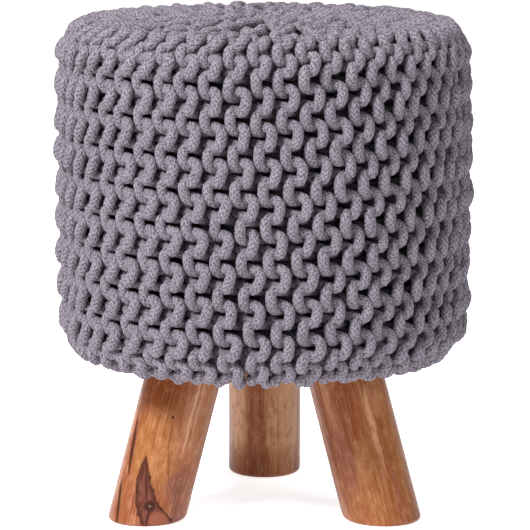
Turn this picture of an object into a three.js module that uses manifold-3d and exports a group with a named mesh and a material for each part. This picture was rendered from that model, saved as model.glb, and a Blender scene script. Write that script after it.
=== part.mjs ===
// A knitted pouf on three round wooden legs, in millimetres, +Z up, standing on z = 0.
// Its front is -Y, and the third leg stands at the back, +Y.
//
// The pouf is one firm, filled drum under a cover knitted in thick cord. The knitting runs sideways, so
// its garter ridges stand upright: they climb the side, turn over both rims and are drawn in to the middle
// of the top and of the underside. Each ridge is a chain of loops that lean right and left by turns, and
// that zigzag is raised in the faces. The legs are turned from one round section each, splayed outwards,
// sawn level at the floor with a rounded edge, and pressed a little way into the underside.

import * as THREE from "three";
import Module from "manifold-3d";
import { mergeVertices } from "three/addons/utils/BufferGeometryUtils.js";

const wasm = await Module();
wasm.setup();

// ---- driving dimensions ----

const COVER_RADIUS = 175; // to the crests of the ridges
const COVER_TOP = 426; // height of the middle of the top
const COVER_BOTTOM = 129; // height of the underside
const CROWN = 7; // how far the top falls from its middle to its rim
const TOP_RIM = 35; // rounding of the upper rim
const BOTTOM_RIM = 37; // rounding of the lower rim
const BARREL = 2; // how far the side swells at mid height

const RIDGES = 52; // garter ridges round the side
const RIDGE_DEPTH = 7.5; // crest to groove
const LOOP_HEIGHT = 26.5; // one loop to the next along a ridge
const LOOP_SWAY = 0.2; // sideways reach of a loop, as a share of the ridge pitch
const RIDGE_LEAN = 0.11; // sideways drift of the ridges for each unit of height
const RIDGE_FAN = 0.13; // how much more they drift on the right than at the front
const GATHER_DEPTH = 9; // dimple where the ridges are drawn together

const LEG_RADIUS = 32;
const LEG_SPLAY = THREE.MathUtils.degToRad(16.8);
const FOOT_CIRCLE = 115; // radius of the circle through the middles of the feet
const FOOT_ROUNDING = 4;
const LEG_SINK = 10; // how far a leg is pressed into the underside
const CLEARANCE = 0.3; // between a leg and its pocket
const LEG_SIDES = 40;
const FIRST_LEG_ANGLE = 30; // degrees from +X round to the first leg, measured towards -Y
const LEG_NAMES = ["leg_front_right", "leg_front_left", "leg_rear"];

const yarn = new THREE.MeshStandardMaterial({ color: "#7f7a86", roughness: 0.95, metalness: 0 });
const wood = new THREE.MeshStandardMaterial({ color: "#b07048", roughness: 0.45, metalness: 0 });

// ---- the cover ----

// The drum's outline at the ridge crests, from the middle of the top to the middle of the underside.
function drumOutline() {
  const straightTop = COVER_TOP - CROWN - TOP_RIM;
  const straightBottom = COVER_BOTTOM + BOTTOM_RIM;
  const flatTop = COVER_RADIUS - TOP_RIM;
  const swell = COVER_RADIUS + 2 * BARREL;
  const outline = new THREE.CurvePath();
  const point = (radius, z) => new THREE.Vector2(radius, z);
  const arc = (z, rim, from, to) =>
    new THREE.EllipseCurve(COVER_RADIUS - rim, z, rim, rim, from, to, true);
  outline.add(
    new THREE.QuadraticBezierCurve(
      point(0, COVER_TOP),
      point(flatTop * 0.6, COVER_TOP),
      point(flatTop, COVER_TOP - CROWN),
    ),
  );
  outline.add(arc(straightTop, TOP_RIM, Math.PI / 2, 0));
  outline.add(
    new THREE.QuadraticBezierCurve(
      point(COVER_RADIUS, straightTop),
      point(swell, (straightTop + straightBottom) / 2),
      point(COVER_RADIUS, straightBottom),
    ),
  );
  outline.add(arc(straightBottom, BOTTOM_RIM, 0, -Math.PI / 2));
  outline.add(
    new THREE.LineCurve(point(COVER_RADIUS - BOTTOM_RIM, COVER_BOTTOM), point(0, COVER_BOTTOM)),
  );
  return outline;
}

// Where a ridge that starts at angle `angle` at mid height has drifted to at height `z`.
function leaned(angle, z) {
  const straightTop = COVER_TOP - CROWN - TOP_RIM;
  const straightBottom = COVER_BOTTOM + BOTTOM_RIM;
  const middle = (straightTop + straightBottom) / 2;
  const drop = middle - THREE.MathUtils.clamp(z, straightBottom, straightTop);
  const fromFront = angle + Math.PI / 2;
  return angle + (drop / COVER_RADIUS) * (RIDGE_LEAN + RIDGE_FAN * Math.sin(fromFront));
}

// How many ridges are left at a given radius: they drop out by halves as the circle shrinks.
function ridgesAt(radius) {
  if (radius > COVER_RADIUS * 0.6) return RIDGES;
  return radius > COVER_RADIUS * 0.27 ? RIDGES / 2 : RIDGES / 4;
}

// One ring of the cover: crest and groove by turns, swayed right or left on every other ring.
function coverRing(place, inward, index) {
  const ridges = ridgesAt(place.x);
  const pitch = (2 * Math.PI) / ridges;
  const sway = (index % 2 ? 1 : -1) * LOOP_SWAY * pitch;
  const closeness = Math.min(1, (place.x * pitch) / (COVER_RADIUS * ((2 * Math.PI) / RIDGES)));
  const gather = GATHER_DEPTH * Math.exp(-((place.x / (2 * GATHER_DEPTH)) ** 2));
  const points = [];
  for (let k = 0; k < 2 * ridges; k++) {
    const groove = (k % 2 ? RIDGE_DEPTH * closeness : 0) + gather;
    const angle = leaned((k * pitch) / 2 + sway, place.y);
    const radius = place.x + inward.x * groove;
    points.push([radius * Math.cos(angle), radius * Math.sin(angle), place.y + inward.y * groove]);
  }
  return points;
}

// Faces between two rings. The finer ring has as many points as the other, or twice as many.
function joinRings(triangles, upper, lower) {
  const fine = Math.max(upper.count, lower.count);
  const onUpper = (k) => upper.start + (Math.floor((k * upper.count) / fine) % upper.count);
  const onLower = (k) => lower.start + (Math.floor((k * lower.count) / fine) % lower.count);
  for (let k = 0; k < fine; k++) {
    const corners = [onUpper(k), onLower(k), onLower(k + 1), onUpper(k + 1)];
    if (corners[1] !== corners[2]) triangles.push(corners[0], corners[1], corners[2]);
    if (corners[0] !== corners[3]) triangles.push(corners[0], corners[2], corners[3]);
  }
}

function coverSolid() {
  const outline = drumOutline();
  const steps = 2 * Math.round(outline.getLength() / LOOP_HEIGHT);
  const points = [[0, 0, COVER_TOP - GATHER_DEPTH]];
  const rings = [];
  for (let index = 1; index < steps; index++) {
    const place = outline.getPointAt(index / steps);
    const along = outline.getTangentAt(index / steps);
    const inward = new THREE.Vector2(along.y, -along.x);
    const ring = coverRing(place, inward, index);
    rings.push({ start: points.length, count: ring.length });
    points.push(...ring);
  }
  const last = points.push([0, 0, COVER_BOTTOM + GATHER_DEPTH]) - 1;

  const triangles = [];
  const [first, final] = [rings[0], rings[rings.length - 1]];
  for (let k = 0; k < first.count; k++) {
    triangles.push(0, first.start + k, first.start + ((k + 1) % first.count));
    triangles.push(last, final.start + ((k + 1) % final.count), final.start + k);
  }
  rings.slice(1).forEach((lower, k) => joinRings(triangles, rings[k], lower));
  return new wasm.Manifold(
    new wasm.Mesh({
      numProp: 3,
      vertProperties: new Float32Array(points.flat()),
      triVerts: new Uint32Array(triangles),
    }),
  );
}

// ---- the legs ----

// A round leg, sawn level at both ends: a turned blank, stretched and slanted to its splay along +X.
function legGeometry(radius, bottom, top, rounding) {
  const profile = [new THREE.Vector2(0, bottom)];
  const steps = rounding ? 4 : 0;
  for (let k = 0; k <= steps; k++) {
    const turn = steps ? ((k / steps) * Math.PI) / 2 : 0;
    profile.push(
      new THREE.Vector2(
        radius - rounding * (1 - Math.sin(turn)),
        bottom + rounding * (1 - Math.cos(turn)),
      ),
    );
  }
  profile.push(new THREE.Vector2(radius, top), new THREE.Vector2(0, top));
  const geometry = new THREE.LatheGeometry(profile, LEG_SIDES);
  geometry.rotateX(Math.PI / 2);
  const splayed = new THREE.Matrix4().set(
    1 / Math.cos(LEG_SPLAY), 0, -Math.tan(LEG_SPLAY), FOOT_CIRCLE,
    0, 1, 0, 0,
    0, 0, 1, 0,
    0, 0, 0, 1,
  );
  return geometry.applyMatrix4(splayed);
}

function legAngle(index) {
  return THREE.MathUtils.degToRad(-FIRST_LEG_ANGLE - 120 * index);
}

// ---- solids to meshes and back ----

function solidOf(geometry) {
  const bare = geometry.clone();
  bare.deleteAttribute("normal");
  bare.deleteAttribute("uv");
  const merged = mergeVertices(bare, 1e-3);
  return new wasm.Manifold(
    new wasm.Mesh({
      numProp: 3,
      vertProperties: new Float32Array(merged.attributes.position.array),
      triVerts: new Uint32Array(merged.index.array),
    }),
  );
}

function geometryOf(solid) {
  const mesh = solid.getMesh();
  const geometry = new THREE.BufferGeometry();
  geometry.setAttribute("position", new THREE.BufferAttribute(mesh.vertProperties, 3));
  geometry.setIndex(new THREE.BufferAttribute(mesh.triVerts, 1));
  geometry.computeVertexNormals();
  return geometry;
}

// ---- the pouf ----

const pouf = new THREE.Group();
pouf.name = "pouf";

let cover = coverSolid();
LEG_NAMES.forEach((name, index) => {
  const leg = legGeometry(LEG_RADIUS, 0, COVER_BOTTOM + LEG_SINK, FOOT_ROUNDING);
  const mesh = new THREE.Mesh(leg, wood);
  mesh.name = name;
  mesh.rotation.z = legAngle(index);
  pouf.add(mesh);

  const pocket = legGeometry(
    LEG_RADIUS + CLEARANCE,
    COVER_BOTTOM - LEG_SINK,
    COVER_BOTTOM + LEG_SINK + CLEARANCE,
    0,
  );
  pocket.rotateZ(legAngle(index));
  cover = cover.subtract(solidOf(pocket));
});

const knitted = new THREE.Mesh(geometryOf(cover), yarn);
knitted.name = "knit_cover";
pouf.add(knitted);

export default pouf;
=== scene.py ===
import math

import bpy
import numpy as np
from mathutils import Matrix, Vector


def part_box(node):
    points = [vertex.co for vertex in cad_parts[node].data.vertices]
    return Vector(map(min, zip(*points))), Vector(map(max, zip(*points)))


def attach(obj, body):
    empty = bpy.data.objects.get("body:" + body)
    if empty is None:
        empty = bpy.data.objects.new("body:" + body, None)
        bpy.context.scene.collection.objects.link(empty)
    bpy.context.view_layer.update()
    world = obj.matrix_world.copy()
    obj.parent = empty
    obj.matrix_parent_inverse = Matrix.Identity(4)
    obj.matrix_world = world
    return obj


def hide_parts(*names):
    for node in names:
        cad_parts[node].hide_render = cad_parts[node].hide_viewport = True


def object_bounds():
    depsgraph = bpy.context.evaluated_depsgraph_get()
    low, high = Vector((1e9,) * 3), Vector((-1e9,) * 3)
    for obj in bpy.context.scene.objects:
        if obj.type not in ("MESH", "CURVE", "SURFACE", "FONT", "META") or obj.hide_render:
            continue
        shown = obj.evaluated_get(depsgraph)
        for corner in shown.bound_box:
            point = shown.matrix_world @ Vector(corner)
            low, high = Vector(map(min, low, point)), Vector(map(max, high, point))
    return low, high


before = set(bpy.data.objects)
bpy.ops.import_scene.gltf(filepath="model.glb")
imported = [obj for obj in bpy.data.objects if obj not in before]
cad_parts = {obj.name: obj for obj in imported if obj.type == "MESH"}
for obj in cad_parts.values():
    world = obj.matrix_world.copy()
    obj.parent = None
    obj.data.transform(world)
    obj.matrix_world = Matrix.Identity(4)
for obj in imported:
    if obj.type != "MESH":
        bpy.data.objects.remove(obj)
cad_low, cad_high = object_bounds()

# ---- The filled body ----
# A firm, filled drum, a little crowned, that gives the pouf its shape. It shows only at the bottom of the
# holes between the loops, where its near-black cloth colour is painted shade, and the knitted cover is
# drawn over it.

cover_low, cover_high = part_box("knit_cover")
COVER_RADIUS = (cover_high.x - cover_low.x) / 2  # to the crests of the ridges, at mid height
COVER_TOP = cad_high.z
COVER_BOTTOM = cover_low.z
CROWN = 0.005  # how far the top falls from its middle to its rim
TOP_RIM = 0.032  # rounding of the upper rim
BOTTOM_RIM = 0.037
BARREL = 0.002  # how far the side swells at mid height
GATHER_DEPTH = 0.009  # dimple where the ridges are drawn together
GATHER_WIDTH = 0.018
BODY_DEPTH = 0.023  # from the crests of the knitting down to the body


class Wire:
    """An output of a shader node. Sums and products of wires add Math nodes to its material."""

    def __init__(self, tree, socket=None):
        self.tree = tree
        self.socket = socket

    def node(self, kind, inputs, output=0, **settings):
        made = self.tree.nodes.new("ShaderNode" + kind)
        stops = settings.pop("stops", None)
        for name, setting in settings.items():
            setattr(made, name, setting)
        if stops:
            elements = made.color_ramp.elements
            while len(elements) < len(stops):
                elements.new(1.0)
            for element, (position, colour) in zip(elements, stops):
                element.position = position
                element.color = (*colour, 1.0)
        for name, value in inputs.items():
            if isinstance(value, Wire):
                self.tree.links.new(value.socket, made.inputs[name])
            else:
                made.inputs[name].default_value = value
        return Wire(self.tree, made.outputs[output])

    def math(self, operation, *values):
        return self.node("Math", dict(enumerate(values)), operation=operation)

    def __add__(self, other):
        return self.math("ADD", self, other)

    def __sub__(self, other):
        return self.math("SUBTRACT", self, other)

    def __rsub__(self, other):
        return self.math("SUBTRACT", other, self)

    def __mul__(self, other):
        return self.math("MULTIPLY", self, other)

    def __truediv__(self, other):
        return self.math("DIVIDE", self, other)

    __radd__ = __add__
    __rmul__ = __mul__

    def ramp(self, low, high):
        """0 where this wire is at `low` and 1 where it is at `high`, smooth between them."""
        inputs = {"Value": self, "From Min": low, "From Max": high}
        return self.node("MapRange", inputs, interpolation_type="SMOOTHSTEP")

    def mixed(self, low, high):
        """The colour `low` where this wire is 0 and `high` where it is 1."""
        low, high = (value if isinstance(value, Wire) else (*value, 1.0) for value in (low, high))
        return self.node("Mix", {0: self, 6: low, 7: high}, 2, data_type="RGBA")

    def noise(self, vector, scale, detail=2.0, roughness=0.5):
        inputs = {"Vector": vector, "Scale": scale, "Detail": detail, "Roughness": roughness}
        return self.node("TexNoise", inputs)

    def into(self, socket):
        self.tree.links.new(self.socket, socket)


def new_material(name, **finish):
    """A material, a bare wire that starts its expressions, and its shader's sockets."""
    made = bpy.data.materials.new(name)
    made.use_nodes = True
    shader = made.node_tree.nodes["Principled BSDF"].inputs
    for socket, value in finish.items():
        shader[socket.replace("_", " ").title().replace("Ior", "IOR")].default_value = value
    return made, Wire(made.node_tree), shader


def select_faces(piece, wanted):
    """In edit mode, selects the faces whose middle and normal pass `wanted`, and no others."""
    bpy.ops.mesh.select_all(action="DESELECT")
    bpy.ops.object.mode_set(mode="OBJECT")
    for face in piece.data.polygons:
        face.select = wanted(face.center, face.normal)
    bpy.ops.object.mode_set(mode="EDIT")


def body_material():
    made, wire, shader = new_material("body_shade_cloth", roughness=0.95)
    place = wire.node("TexCoord", {}, "Object")
    weave = wire.noise(place, 900.0, 3.0)
    # Near-black cloth colour: painted shade for the bottom of the holes between the loops.
    weave.mixed((0.010, 0.009, 0.011), (0.020, 0.018, 0.022)).into(shader["Base Color"])
    wire.node("Bump", {"Height": weave, "Distance": 0.0004}).into(shader["Normal"])
    return made


def round_rim(piece, height, rounding):
    """Rounds the rim at `height`, in edit mode."""
    bpy.ops.mesh.select_mode(type="EDGE")
    bpy.ops.mesh.select_all(action="DESELECT")
    bpy.ops.object.mode_set(mode="OBJECT")
    points = piece.data.vertices
    for edge in piece.data.edges:
        edge.select = all(abs(points[end].co.z - height) < 1e-4 for end in edge.vertices)
    bpy.ops.object.mode_set(mode="EDIT")
    bpy.ops.mesh.bevel(offset=rounding, segments=8, affect="EDGES")
    bpy.ops.mesh.select_mode(type="FACE")


def crown_end(piece, height, up):
    """Insets the flat end at `height` towards its middle, ring by ring, and moves each ring to the
    crown and the dimple at the gather."""
    rings = 7
    flat = COVER_RADIUS - TOP_RIM
    select_faces(piece, lambda middle, normal: normal.z * up > 0.9 and abs(middle.z - height) < 1e-4)
    sunk = 0.0
    for ring in range(1, rings):
        radius = flat * (1 - ring / rings)
        crown = CROWN * (1 - (radius / flat) ** 2) if up > 0 else 0.0
        wanted = crown - GATHER_DEPTH * math.exp(-((radius / GATHER_WIDTH) ** 2))
        bpy.ops.mesh.inset(thickness=flat / rings)
        bpy.ops.transform.translate(value=(0, 0, up * (wanted - sunk)))
        sunk = wanted


def make_body():
    radius = COVER_RADIUS - BARREL / 2 - BODY_DEPTH
    low = COVER_BOTTOM + BODY_DEPTH
    high = COVER_TOP - CROWN - BODY_DEPTH
    bpy.ops.object.select_all(action="DESELECT")
    bpy.ops.mesh.primitive_cylinder_add(
        vertices=96, radius=radius, depth=high - low, location=(0, 0, (low + high) / 2)
    )
    piece = bpy.context.object
    piece.name = "filled_body"
    bpy.ops.object.transform_apply()
    bpy.ops.object.mode_set(mode="EDIT")
    round_rim(piece, high, TOP_RIM - BODY_DEPTH)
    round_rim(piece, low, BOTTOM_RIM - BODY_DEPTH)
    crown_end(piece, high, 1)
    crown_end(piece, low, -1)
    bpy.ops.object.mode_set(mode="OBJECT")
    bpy.ops.object.shade_smooth()
    piece.data.materials.append(body_material())
    return piece


body = make_body()
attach(body, "root")
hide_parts("knit_cover")

# ---- The knitted cover ----
# One long tube of garter stitch in thick plaited cotton cord. It is knitted sideways, so every two
# courses make an upright ridge: the loops' heads bulge out on its right and the arcs that join the
# loops of the next course bulge out on its left. Some ridges stop short on the top and the underside,
# and the rest are drawn in to the middle.

RIDGES = 52
STITCH = 0.0284  # one loop to the next along a ridge
CORD_RADIUS = 0.0046
LOOP_REACH = 0.53  # half the width of a loop, in ridges
LOOP_SQUARE = 0.095  # how much a loop's ends are squared off
LOOP_TWIST = 0.052  # how far a loop's ends lean over, in ridges
HEAD_TWIST = 0.03  # how much more its head leans
LEFT_TWIST = 0.045  # and how much more on the left flank
LOOP_CURL = 0.0035  # how far a loop's arms close in towards each other
LOOP_SLOPE = 0.0022  # how far the arms slope on their way through the cloth
LOOP_DEPTH = 0.0100  # how far a loop's ends stand out of the middle of the cloth, or into it
LOOP_FLAT = 0.03  # how much their crests are flattened
LOOP_ROLL = 0.0010  # how much further one arm stands out than the other
HEAD_RISE = 0.0008  # how much prouder the heads are than the arcs between the loops
FLANK_RISE = 0.0016  # how much they lose to the arcs on the right flank, and gain on the left
FLANK_FULLNESS = 0.08  # how much fuller the cord is in the loops that stand proud on the flanks
BACK_SINK = 0.0015  # how much deeper the loops lie behind the cloth
TOP_PACKING = 0.3  # how much flatter the loops lie on the top
LEFT_PACKING = 0.36  # and on the left flank
CORD_POINTS = 22  # along one loop
CORD_SIDES = 9
PANELS = 4

RIDGE_LEAN = 0.09  # sideways drift of the ridges for each unit of height
RIDGE_FAN = 0.105  # how much more they drift on the right than at the front
ROW_SLANT = 0.0115  # how much higher they are on the right, near the top
FRONT_EASE = 0.034  # how much wider the ridges are at the front
RIDGE_FADE = 0.030  # over what length a ridge narrows before it stops
RIDGE_STOPS = (-0.004, 0.112, 0.062, 0.108, 0.030, 0.104, 0.066, 0.116)  # radius where each of eight ends
FRONT_TURN = -0.028  # where the first ridge stands
FIRST_ROW = -0.0028  # how far up the first row of loops starts
END_GAP = 0.004  # between the end of a course and the middle of the top or the underside
LUCK_STEPS = 64  # random values along a course, one for each half loop

LEG_RADIUS = 0.032
LEG_SPLAY = math.radians(16.8)
FOOT_CIRCLE = 0.115  # radius of the circle through the middles of the feet
LEG_NAMES = ("leg_front_right", "leg_front_left", "leg_rear")
FIRST_LEG_ANGLE = -30  # degrees from +X round to the first leg
LEG_PRESS = 0.0115  # how far a leg presses the knitting up

PLAIT_PITCH = 0.0034
PLAIT_COLUMNS = 6.0

cord_luck = np.random.default_rng(5)


def crests():
    """Radius and height of the ridge crests, the way out from them, and the distance gone along the
    cloth, from the middle of the underside to the middle of the top."""
    straight_top = COVER_TOP - CROWN - TOP_RIM
    straight_bottom = COVER_BOTTOM + BOTTOM_RIM
    side_radius = COVER_RADIUS - BARREL
    flat_top = side_radius - TOP_RIM
    flat_bottom = side_radius - BOTTOM_RIM
    step = np.linspace(0, 1, 200, endpoint=False)
    turn = step * math.pi / 2
    rise = straight_top - straight_bottom
    stretches = [
        (flat_bottom * step, COVER_BOTTOM + 0 * step),
        (flat_bottom + BOTTOM_RIM * np.sin(turn), straight_bottom - BOTTOM_RIM * np.cos(turn)),
        (side_radius + 4 * BARREL * step * (1 - step), straight_bottom + rise * step),
        (flat_top + TOP_RIM * np.cos(turn), straight_top + TOP_RIM * np.sin(turn)),
        (flat_top * (1 - step), COVER_TOP - CROWN * (1 - step) ** 2),
    ]
    radius = np.concatenate([stretch[0] for stretch in stretches] + [[0.0]])
    height = np.concatenate([stretch[1] for stretch in stretches] + [[COVER_TOP]])
    gone = np.concatenate([[0.0], np.cumsum(np.hypot(np.diff(radius), np.diff(height)))])
    out = np.stack([np.gradient(height, gone), -np.gradient(radius, gone)], 1)
    out /= np.linalg.norm(out, axis=1, keepdims=True)
    dimple = GATHER_DEPTH * np.exp(-((radius / GATHER_WIDTH) ** 2))
    return radius, height - dimple * np.sign(out[:, 1]), out, gone


crest_radius, crest_height, crest_out, crest_gone = crests()


def eased(share):
    share = np.clip(share, 0, 1)
    return share * share * (3 - 2 * share)


def angle_of(ridge, radius, height):
    """Angle round the drum of a place `ridge` ridges along the knitting. A ridge that is about to
    stop narrows, and its neighbours close over it."""
    stops = np.resize(RIDGE_STOPS, RIDGES)
    width = eased((radius[:, None] - stops) / RIDGE_FADE) + 1e-3
    edges = np.concatenate([np.zeros((len(radius), 1)), np.cumsum(width, axis=1)], axis=1)
    edges *= 2 * math.pi / edges[:, -1:]
    turns, within = np.divmod(ridge, RIDGES)
    index = within.astype(int)
    row = np.arange(len(radius))
    angle = edges[row, index] + (within - index) * (edges[row, index + 1] - edges[row, index])
    angle += 2 * math.pi * turns + FRONT_TURN
    low, high = COVER_BOTTOM + BOTTOM_RIM, COVER_TOP - CROWN - TOP_RIM
    drop = (low + high) / 2 - np.clip(height, low, high)
    angle += FRONT_EASE * np.cos(angle)
    return angle + drop / COVER_RADIUS * (RIDGE_LEAN + RIDGE_FAN * np.cos(angle))


def place_on_drum(ridge, gone, depth):
    """Points `depth` below the crests, `gone` along the cloth and `ridge` ridges round."""
    radius = np.interp(gone, crest_gone, crest_radius)
    height = np.interp(gone, crest_gone, crest_height)
    out = np.stack([np.interp(gone, crest_gone, crest_out[:, axis]) for axis in (0, 1)], 1)
    angle = angle_of(ridge, radius, height)
    depth = depth + leg_pressing(radius, angle, height)
    radius = radius - out[:, 0] * depth
    height = height - out[:, 1] * depth
    points = np.stack([radius * np.cos(angle), radius * np.sin(angle), height], 1)
    outward = np.stack([out[:, 0] * np.cos(angle), out[:, 0] * np.sin(angle), out[:, 1]], 1)
    return points, outward


def leg_angle(index):
    return math.radians(FIRST_LEG_ANGLE - 120 * index)


def leg_pressing(radius, angle, height):
    """How far the legs press the knitting up, at places on the underside."""
    pressed = np.zeros(len(radius))
    at_top = FOOT_CIRCLE - COVER_BOTTOM * math.tan(LEG_SPLAY)
    for index in range(len(LEG_NAMES)):
        away = angle - leg_angle(index)
        across = radius * np.sin(away)
        along = (radius * np.cos(away) - at_top) * math.cos(LEG_SPLAY)
        near = 1 - eased((np.hypot(across, along) / LEG_RADIUS - 1.05) / 0.3)
        pressed = np.maximum(pressed, near * (height < COVER_BOTTOM + BOTTOM_RIM / 2))
    return LEG_PRESS * pressed


def stand_out(turn, side, rise=HEAD_RISE):
    """How far a course stands out of the middle of the cloth. Its heads are in front where `side` is 1
    and behind where it is -1."""
    face = side * np.cos(turn)
    out = LOOP_DEPTH * (face - side * LOOP_FLAT * np.cos(3 * turn)) / (1 - LOOP_FLAT)
    out += side * (rise - LOOP_ROLL * np.sin(2 * turn))
    return out - BACK_SINK * ((1 - face) / 2) ** 2


LOOP_CREST = stand_out(np.linspace(-math.pi, math.pi, 200), 1).max()


def course_path(course):
    """Middle of the cord of one course, the way out of the cloth along it, its depth in it and how
    thick it is."""
    ridge = course // 2
    stop = RIDGE_STOPS[ridge % len(RIDGE_STOPS)] + RIDGE_FADE / 4
    first = (stop - FIRST_ROW) / STITCH * 2 * math.pi
    last = (crest_gone[-1] - stop - FIRST_ROW) / STITCH * 2 * math.pi
    turn = np.arange(first, last, 2 * math.pi / CORD_POINTS)
    uneven = cord_luck.normal(0, 1, (6, LUCK_STEPS))
    halves = np.arange(LUCK_STEPS) * math.pi

    def luck(kind, amount):
        return amount * np.interp(turn, halves, uneven[kind])

    side = 1 if course % 2 == 0 else -1
    rightward = math.cos((course / 2 + 0.25) / RIDGES * 2 * math.pi)
    leftness = eased(-rightward * 1.4)
    across = (np.cos(turn) - LOOP_SQUARE * np.cos(3 * turn)) / (1 - LOOP_SQUARE)
    across *= LOOP_REACH * (1 + luck(0, 0.05))
    head_twist = HEAD_TWIST + LEFT_TWIST * leftness
    across += (LOOP_TWIST * (1 + luck(1, 0.4)) + head_twist * np.cos(turn)) * np.sin(2 * turn)
    across += course / 2 + 0.25 + luck(2, 0.04)
    gone = STITCH * turn / (2 * math.pi) + FIRST_ROW - LOOP_SLOPE * (np.cos(turn) - side)
    gone += LOOP_CURL * (1 + luck(3, 0.06)) * np.sin(2 * turn) + luck(4, 0.0009)
    rise = ROW_SLANT * eased((rightward + 0.2) / 1.2) * eased((gone - 0.21) / 0.2)
    gone += rise * eased(crest_radius_at(gone) / COVER_RADIUS)
    head_rise = HEAD_RISE - FLANK_RISE * rightward
    up_the_rim = (np.interp(gone, crest_gone, crest_height) - (COVER_TOP - CROWN - TOP_RIM)) / TOP_RIM
    flatness = 1 - TOP_PACKING * eased(up_the_rim) - LEFT_PACKING * leftness
    depth = CORD_RADIUS + (LOOP_CREST - stand_out(turn, side, head_rise)) * flatness
    depth += luck(5, 0.0009) * flatness
    thickness = CORD_RADIUS * (1 - FLANK_FULLNESS * rightward * np.cos(turn))
    near_end = np.minimum(turn - turn[0], turn[-1] - turn) / (2 * math.pi)
    depth += LOOP_DEPTH * (1 - eased(near_end))
    points, outward = place_on_drum(across, np.clip(gone, END_GAP, crest_gone[-1] - END_GAP), depth)
    return points, outward, depth, thickness


def crest_radius_at(gone):
    return np.interp(gone, crest_gone, crest_radius)


def cord_mesh(points, outward, depth, thickness, start):
    """Corners, faces, UVs and depths in the cloth of one cord. U runs along it in metres and V once
    round it."""
    ahead = np.gradient(points, axis=0)
    ahead /= np.linalg.norm(ahead, axis=1, keepdims=True)
    sideways = np.cross(ahead, outward)
    sideways /= np.linalg.norm(sideways, axis=1, keepdims=True)
    outwards = np.cross(sideways, ahead)
    round_it = np.arange(CORD_SIDES) * 2 * math.pi / CORD_SIDES - math.pi
    ring = np.cos(round_it)[:, None] * outwards[:, None] + np.sin(round_it)[:, None] * sideways[:, None]
    ring = ring * thickness[:, None, None]
    corners = (points[:, None] + ring).reshape(-1, 3)
    sunk = (depth[:, None] - (ring * outward[:, None]).sum(axis=2)).ravel()
    rows = np.arange(len(points) - 1)[:, None] * CORD_SIDES
    side = np.arange(CORD_SIDES)[None, :]
    after = (side + 1) % CORD_SIDES
    quads = np.stack(
        [rows + side, rows + CORD_SIDES + side, rows + CORD_SIDES + after, rows + after], -1
    ).reshape(-1, 4)
    gone = np.concatenate([[0], np.cumsum(np.linalg.norm(np.diff(points, axis=0), axis=1))]) + start
    here = np.broadcast_to(gone[:-1, None], (len(rows), CORD_SIDES))
    there = np.broadcast_to(gone[1:, None], (len(rows), CORD_SIDES))
    left = np.broadcast_to(side / CORD_SIDES, here.shape)
    right = left + 1 / CORD_SIDES
    uvs = np.stack(
        [np.stack([here, there, there, here], -1), np.stack([left, left, right, right], -1)], -1
    ).reshape(-1, 2)
    return corners, quads, uvs, sunk


def panel_object(name, courses):
    """The cords of some courses in one mesh, each closed at both ends."""
    corners, faces, uvs, depths = [], [], [], []
    count = 0
    for course in courses:
        cord_corners, quads, cord_uvs, sunk = cord_mesh(*course_path(course), course * 0.37)
        corners.append(cord_corners)
        depths.append(sunk)
        faces.extend((quads + count).tolist())
        uvs.append(cord_uvs)
        for first in (0, len(cord_corners) - CORD_SIDES):
            cap = [count + first + side for side in range(CORD_SIDES)]
            faces.append(cap if first == 0 else cap[::-1])
            uvs.append(np.zeros((CORD_SIDES, 2)))
        count += len(cord_corners)
    mesh = bpy.data.meshes.new(name)
    mesh.from_pydata(np.concatenate(corners).tolist(), [], faces)
    mesh.uv_layers.new(name="cord").data.foreach_set("uv", np.concatenate(uvs).ravel())
    # The depth of each corner in the cloth, which the cord material turns into painted shade.
    mesh.attributes.new("depth", "FLOAT", "POINT").data.foreach_set("value", np.concatenate(depths))
    mesh.shade_smooth()
    made = bpy.data.objects.new(name, mesh)
    bpy.context.collection.objects.link(made)
    return made


def cord_material():
    """Plaited cotton, heathered grey-mauve, with a little fuzz, and painted shade in the grooves of the
    plait and deeper in the cloth.
    """
    made, wire, shader = new_material("cotton_cord", roughness=0.95, specular_ior_level=0.25)
    place = wire.node("TexCoord", {}, "Object")
    run = wire.node("UVMap", {}, uv_map="cord")
    along = wire.node("SeparateXYZ", {0: run}, 0)
    around = wire.node("SeparateXYZ", {0: run}, 1)
    wobble = wire.noise(place, 260.0, 2.0)
    column = (around * PLAIT_COLUMNS).math("PINGPONG", around * PLAIT_COLUMNS, 0.5) * 2.0
    phase = along / PLAIT_PITCH + column * 0.8 + wobble * 0.9
    strand = wire.math("ABSOLUTE", wire.math("SINE", phase * math.pi))
    seam = wire.math("SINE", column * math.pi)
    fuzz = wire.noise(place, 2600.0, 2.0)
    height = strand.math("POWER", strand, 0.6) * (seam * 0.4 + 0.6) + fuzz * 0.35
    # Painted shade: the colour darkens in the grooves between the plait's strands and along its seams.
    groove_shade = (strand * (seam * 0.5 + 0.5)).ramp(0.05, 0.62)
    flecks = wire.noise(place, 660.0, 3.0, 0.7).ramp(0.33, 0.53)
    patches = wire.noise(place, 14.0, 2.0)
    light = patches.mixed((0.168, 0.147, 0.177), (0.189, 0.166, 0.199))
    dark = patches.mixed((0.020, 0.015, 0.022), (0.027, 0.021, 0.029))
    depth = wire.node("Attribute", {}, "Fac", attribute_name="depth")
    # Painted shade: the cord's colour darkens the deeper it lies in the cloth.
    depth_shade = 1.0 - depth.ramp(0.0055, 0.0150) * 0.46
    # Heathered flecks, darkened by the painted shade of the grooves and of the depth.
    heather_and_shade = (flecks * 0.82 + 0.18) * (groove_shade * 0.65 + 0.35) * depth_shade
    heather_and_shade.mixed(dark, light).into(shader["Base Color"])
    bump = {"Height": height, "Distance": 0.0008, "Strength": 0.8}
    wire.node("Bump", bump).into(shader["Normal"])
    return made


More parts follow.
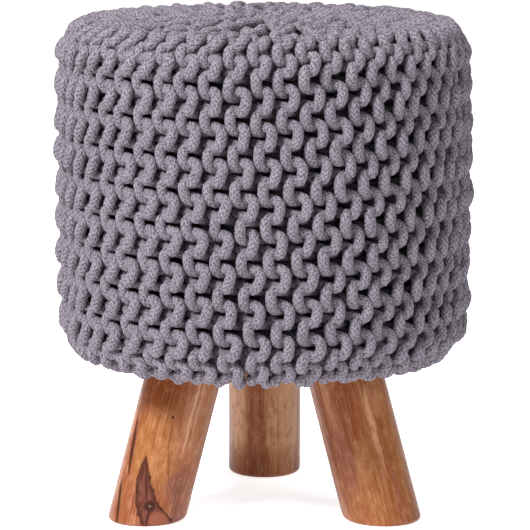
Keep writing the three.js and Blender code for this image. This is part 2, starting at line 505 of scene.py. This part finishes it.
cord = cord_material()
for panel in range(PANELS):
    share = 2 * RIDGES // PANELS
    knitting = panel_object(f"knitting_{panel + 1}", range(panel * share, (panel + 1) * share))
    knitting.data.materials.append(cord)
    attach(knitting, "root")
    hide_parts("knit_cover")

# ---- The legs ----
# Three round legs of clear-finished hardwood, splayed outwards, sawn level at the floor with a rounded
# edge and pressed into the underside. The figure of the wood differs from leg to leg.

LEG_SINK = 0.010  # how far a leg is pressed into the underside
FOOT_ROUNDING = 0.004

HONEY = (0.225, 0.089, 0.026)
AMBER = (0.195, 0.062, 0.017)
RUSSET = (0.150, 0.035, 0.007)
ROSE = (0.190, 0.060, 0.031)
SAND = (0.275, 0.115, 0.057)
PALE = (0.440, 0.235, 0.140)
PLUM = (0.108, 0.036, 0.027)
HEART = (0.070, 0.015, 0.007)
BARK = (0.032, 0.007, 0.003)
ASH = (0.120, 0.100, 0.076)
STRAW = (0.420, 0.220, 0.102)

# Patches of colour: the figure of the wood, and on the rear leg a painted highlight and painted shade.
# How far right of the line that faces the front, how high along the leg, half the width and half the
# height in millimetres, strength and colour.
PATCHES = {
    "leg_front_left": (
        (-6, 64, 24, 42, 0.8, HONEY),
        (25, 96, 18, 50, 0.9, SAND),
        (11, 74, 6, 34, 0.5, SAND),
        (16, 100, 1.5, 44, 0.8, PALE),
        (21, 98, 1.0, 36, 0.6, PALE),
        (22, 28, 15, 24, 0.9, ROSE),
        (18, 32, 9, 14, 0.55, PLUM),
        (27, 14, 8, 10, 0.6, PLUM),
        (-13, 124, 22, 32, 0.95, RUSSET),
        (-33, 60, 6, 36, 0.6, RUSSET),
        (-34, 14, 6, 26, 0.6, RUSSET),
    ),
    "leg_front_right": (
        (-22, 104, 5, 36, 0.8, SAND),
        (-21, 50, 8, 46, 0.7, ROSE),
        (-31, 90, 4, 52, 0.8, RUSSET),
        (-7, 100, 9, 46, 0.85, RUSSET),
        (-1, 34, 11, 44, 0.8, HONEY),
        (-14, 10, 14, 26, 0.5, HONEY),
        (11, 92, 5, 62, 0.75, SAND),
        (12, 76, 3.0, 36, 0.55, PALE),
        (24, 106, 10, 22, 0.7, SAND),
        (29, 50, 9, 64, 0.6, HONEY),
    ),
    "leg_rear": (
        (-27, 80, 12, 66, 0.65, STRAW),
        (17, 78, 17, 74, 0.85, STRAW),
        (11, 86, 5, 46, 0.5, PALE),
        # Painted light: the rear leg is made lighter on its right side, where light falls on it.
        (25, 76, 12, 76, 0.75, PALE),
        (-27, 88, 7, 60, 0.55, PALE),
        (-8, 66, 9, 96, 0.4, RUSSET),
        # Redder wood and painted shade: the rear leg is darker all round towards the floor.
        (0, -2, 70, 42, 0.5, RUSSET),
        (-7, 8, 8, 34, 0.3, HEART),
    ),
}
# Cracks and thin dark lines: where one starts and ends, in the same measures, half its width, strength.
SEAMS = {
    "leg_front_left": (
        (-35.0, 84, -27.0, 32, 3.4, 1.0),
        (-35.0, 30, -25.5, -12, 3.0, 1.0),
        (-12.5, 46, -15.0, 4, 1.6, 0.5),
        (0.6, 89, 2.8, 60, 0.8, 0.5),
        (2.8, 66, 10.5, 36, 1.2, 0.4),
        (-11.0, 42, -3.0, 16, 1.5, 0.8),
        (3.0, 19, 24.0, 4, 1.5, 0.9),
        (0.3, 11, 1.5, -7, 1.3, 0.9),
    ),
    "leg_front_right": ((4.5, 74, 3.0, 28, 0.5, 0.5), (8.0, 54, 6.5, 4, 0.5, 0.5)),
    "leg_rear": ((12.0, 106, 13.0, 28, 0.8, 0.4),),
}
KNOT_EYE = (-0.3, 13.7)
KNOT_TIP = 54.0  # how high the flame round the knot reaches
LOBE = (10.5, 3.0)
WORM_HOLE = (0.0, 90.5)


def seen_from_front(wire, index):
    """The leg's own place, with X out to the front and Z along the leg, then how far right of its
    front line a place is and how high, in millimetres."""
    turn = leg_angle(index)
    foot = (FOOT_CIRCLE * math.cos(turn), FOOT_CIRCLE * math.sin(turn), 0.0)
    level = wire.node("TexCoord", {}, "Object")
    inputs = {"Vector": level, "Location": foot, "Rotation": (0.0, -LEG_SPLAY, turn)}
    own = wire.node("Mapping", inputs, vector_type="TEXTURE")
    own = wire.node("Mapping", {"Vector": own, "Rotation": (0.0, 0.0, turn + math.pi / 2)})
    x, y, z = (wire.node("SeparateXYZ", {0: own}, axis) for axis in range(3))
    return own, wire.math("ARCTAN2", y, x) * (LEG_RADIUS * 1000), z * 1000.0


def wood_grain(wire, own, scale, run, detail):
    """Noise drawn out along the leg: `scale` per metre across it and `run` times that along it."""
    stretched = wire.node("Mapping", {"Vector": own, "Scale": (1.0, 1.0, run)})
    return wire.noise(stretched, scale, detail, 0.6)


def spot(across, height, middle, half_width, half_height, ragged):
    """1 in an oval patch and 0 outside it. `ragged` moves its edge in and out."""
    away = (across - middle[0]) / half_width
    beyond = (height - middle[1]) / half_height
    return (away * away + beyond * beyond + ragged).ramp(1.3, 0.4)


def seam_mask(wire, across, height, seam):
    """The strength of a thin seam, which tapers to nothing at both ends."""
    start, top, end, bottom, width, strength = seam
    share = (height - bottom) / (top - bottom)
    thickness = wire.math("MAXIMUM", share * (1.0 - share) * (4 * width), 0.0) + 0.01
    off = wire.math("ABSOLUTE", across - end - share * (start - end))
    return (off / thickness).ramp(1.1, 0.35) * strength


def knot_sides(wire, height):
    """Left and right edge of the flame of dark wood round the knot. Both are one place above it."""
    down = wire.math("MAXIMUM", (KNOT_TIP - height) / KNOT_TIP, 0.0)
    left = down * down * 27.0 - down * 18.0 - 14.0
    right = wire.math("POWER", down, 8.0) * 30.0 + down * 28.0 - 14.0
    return left, right


def round_knot(wire, own, across, height):
    """The leg's own place, pushed aside as the grain is where it flows round the knot."""
    left, right = knot_sides(wire, height)
    half = wire.math("MINIMUM", (right - left) * 0.5, 8.0)
    off = across - (left + half)
    beyond = wire.math("SQRT", wire.math("MAXIMUM", off * off - half * half, 0.0))
    push = beyond * wire.math("SIGN", off) - off
    return wire.node("VectorMath", {0: own, 1: wire.node("CombineXYZ", {1: push * 0.001})})


def knot_colour(wire, across, height, colour, waver):
    """The flame, the pink wood that has grown over its foot, and the dead branch in its middle."""
    left, right = knot_sides(wire, height + waver * 2.0)
    inward = wire.math("MINIMUM", across + waver * 1.4 - left, right - across - waver * 1.4)
    inside = inward.ramp(-0.8, 0.7) * height.ramp(KNOT_TIP + 4, KNOT_TIP - 5)
    flame = waver.ramp(-0.9, 0.8).mixed(HEART, PLUM)
    flame = (waver.ramp(0.5, 1.5) * 0.6).mixed(flame, ROSE)
    flame = (inward.ramp(5.0, 1.4) * 0.9).mixed(flame, BARK)
    colour = (inside * 0.95).mixed(colour, flame)
    colour = (spot(across, height, LOBE, 9.5, 8.5, waver * 0.1) * 0.9).mixed(colour, ROSE)
    ring = spot(across, height, KNOT_EYE, 4.8, 5.8, waver * 0.25)
    colour = ring.mixed(colour, BARK)
    core = spot(across, height, KNOT_EYE, 1.6, 2.0, waver)
    return (core * 0.8).mixed(colour, ASH)


def end_grain(wire, own, colour):
    """The leg's colour, with growth rings on the face it was sawn to at the floor."""
    level = wire.node("TexCoord", {}, "Object")
    x, y = (wire.node("SeparateXYZ", {0: own}, axis) * 1000.0 for axis in (0, 1))
    away = wire.math("SQRT", (x - 5.0) * (x - 5.0) + (y + 3.0) * (y + 3.0))
    rings = wire.math("SINE", away * 2.6 + wire.noise(own, 90.0, 3.0) * 9.0)
    sawn = (rings * 0.5 + 0.5).mixed(RUSSET, AMBER)
    rays = wire.noise(own, 1400.0, 2.0)
    sawn = (rays.ramp(0.5, 0.3) * 0.5).mixed(sawn, HEART)
    return wire.node("SeparateXYZ", {0: level}, 2).ramp(0.0016, 0.0004).mixed(colour, sawn)


def leg_material(name, index):
    made, wire, shader = new_material(
        name + "_wood", specular_ior_level=0.11, sheen_weight=0.07, sheen_roughness=0.3
    )
    own, across, height = seen_from_front(wire, index)
    knotty = name == "leg_front_left"
    flowing = round_knot(wire, own, across, height) if knotty else own
    drift = wire.noise(own, 28.0, 3.0) - 0.5
    waver = (wood_grain(wire, own, 260.0, 0.4, 3.0) - 0.5) * 4.0
    bands = wood_grain(wire, flowing, 90.0, 0.07, 4.0)
    colour = wire.node(
        "ValToRGB", {"Fac": bands}, stops=((0.34, RUSSET), (0.46, AMBER), (0.58, ROSE), (0.7, SAND))
    )
    ragged = (wood_grain(wire, flowing, 330.0, 0.06, 3.0) - 0.5) * 1.4
    patch_across, patch_height = across + drift * 6.0, height + drift * 24.0
    for right, up, half_width, half_height, strength, tint in PATCHES[name]:
        patch = spot(patch_across, patch_height, (right, up), half_width, half_height, ragged)
        colour = (patch * strength).mixed(colour, tint)
    lines = wood_grain(wire, flowing, 1000.0, 0.03, 3.0)
    colour = (lines.ramp(0.5, 0.74) * 0.4).mixed(colour, PALE)
    colour = (lines.ramp(0.5, 0.3) * 0.4).mixed(colour, HEART)
    clouds = wood_grain(wire, own, 210.0, 0.5, 4.0)
    colour = (clouds.ramp(0.46, 0.7) * 0.5).mixed(colour, RUSSET)
    colour = (clouds.ramp(0.48, 0.3) * 0.25).mixed(colour, PALE)
    pores = wood_grain(wire, flowing, 1900.0, 0.08, 2.0).ramp(0.38, 0.3)
    if knotty:
        colour = knot_colour(wire, across, height, colour, waver)
    cracks = pores * 0.25
    for seam in SEAMS[name]:
        crack = seam_mask(wire, across + waver * 0.5, height, seam)
        cracks = wire.math("MAXIMUM", cracks, crack)
    if knotty:
        hole = spot(across, height, WORM_HOLE, 1.1, 1.6, 0.0)
        cracks = wire.math("MAXIMUM", cracks, hole)
    colour = end_grain(wire, own, (cracks * 0.9).mixed(colour, BARK))
    colour.into(shader["Base Color"])
    (lines * 0.2 + cracks * 0.6 + 0.24).into(shader["Roughness"])
    relief = {"Height": lines * 0.25 - cracks, "Distance": 0.0004}
    wire.node("Bump", relief).into(shader["Normal"])
    return made


def make_leg(name, index):
    """A round blank, tilted to its splay, sawn level at both ends and rounded at the floor."""
    top = COVER_BOTTOM + LEG_SINK
    blank = 2 * top
    turn = leg_angle(index)
    centre = FOOT_CIRCLE - top / 2 * math.tan(LEG_SPLAY)
    bpy.ops.object.select_all(action="DESELECT")
    bpy.ops.mesh.primitive_cylinder_add(
        vertices=96,
        radius=LEG_RADIUS,
        depth=blank,
        location=(centre * math.cos(turn), centre * math.sin(turn), top / 2),
        rotation=(0.0, -LEG_SPLAY, turn),
    )
    piece = bpy.context.object
    piece.name = name + "_turned"
    bpy.ops.object.transform_apply()
    bpy.ops.object.mode_set(mode="EDIT")
    for height, outward in ((0.0, -1), (top, 1)):
        bpy.ops.mesh.select_all(action="SELECT")
        bpy.ops.mesh.bisect(
            plane_co=(0, 0, height), plane_no=(0, 0, outward), use_fill=True, clear_outer=True
        )
    round_rim(piece, 0.0, FOOT_ROUNDING)
    bpy.ops.object.mode_set(mode="OBJECT")
    bpy.ops.object.shade_smooth_by_angle(angle=math.radians(40))
    return piece


for index, name in enumerate(LEG_NAMES):
    leg = make_leg(name, index)
    leg.data.materials.append(leg_material(name, index))
    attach(leg, "root")
    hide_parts(name)

# ---- The floor, the light and the camera ----
# A plain white floor that glows a little and runs out of sight, a soft key light from the upper left
# with two weaker ones that fill its shadows, and a camera a little above the pouf's top.

CAMERA_DISTANCE = 2.511
CAMERA_HEIGHT = 0.6394
CAMERA_PITCH = math.radians(9.77)
CAMERA_LENS = 203.0
CAMERA_ASIDE = 0.0005


def floor_material():
    made, wire, shader = new_material("white_floor", roughness=0.8, emission_strength=0.78)
    place = wire.node("TexCoord", {}, "Object")
    wire.noise(place, 3.0).mixed((0.90, 0.90, 0.90), (0.92, 0.92, 0.92)).into(shader["Base Color"])
    return made


def add_light(name, size, power, place, aim):
    light = bpy.data.lights.new(name, "AREA")
    light.shape = "DISK"
    light.size = size
    light.energy = power
    lamp = bpy.data.objects.new(name, light)
    lamp.location = place
    direction = np.array(aim) - np.array(place)
    flat = math.hypot(direction[0], direction[1])
    lamp.rotation_euler = (
        math.pi / 2 + math.atan2(direction[2], flat),
        0.0,
        math.atan2(direction[1], direction[0]) - math.pi / 2,
    )
    bpy.context.collection.objects.link(lamp)


bpy.ops.mesh.primitive_plane_add(size=30.0)
floor = bpy.context.object
floor.name = "floor"
floor.data.materials.append(floor_material())

middle = (0.0, 0.0, 0.25)
add_light("key", 1.0, 212.0, (-1.65, -1.75, 2.4), middle)
add_light("top", 1.6, 42.0, (-0.2, 0.3, 2.4), middle)
add_light("fill", 0.8, 26.0, (2.1, -1.6, 1.6), middle)

world = bpy.data.worlds.new("white_room")
world.use_nodes = True
world.node_tree.nodes["Background"].inputs["Color"].default_value = (1.0, 1.0, 1.0, 1.0)
world.node_tree.nodes["Background"].inputs["Strength"].default_value = 0.19
bpy.context.scene.world = world
bpy.context.scene.view_settings.view_transform = "Standard"

camera = bpy.data.objects.new("camera", bpy.data.cameras.new("camera"))
camera.data.lens = CAMERA_LENS
camera.location = (CAMERA_ASIDE, -CAMERA_DISTANCE, CAMERA_HEIGHT)
camera.rotation_euler = (math.pi / 2 - CAMERA_PITCH, 0.0, 0.0)
bpy.context.collection.objects.link(camera)
bpy.context.scene.camera = camera
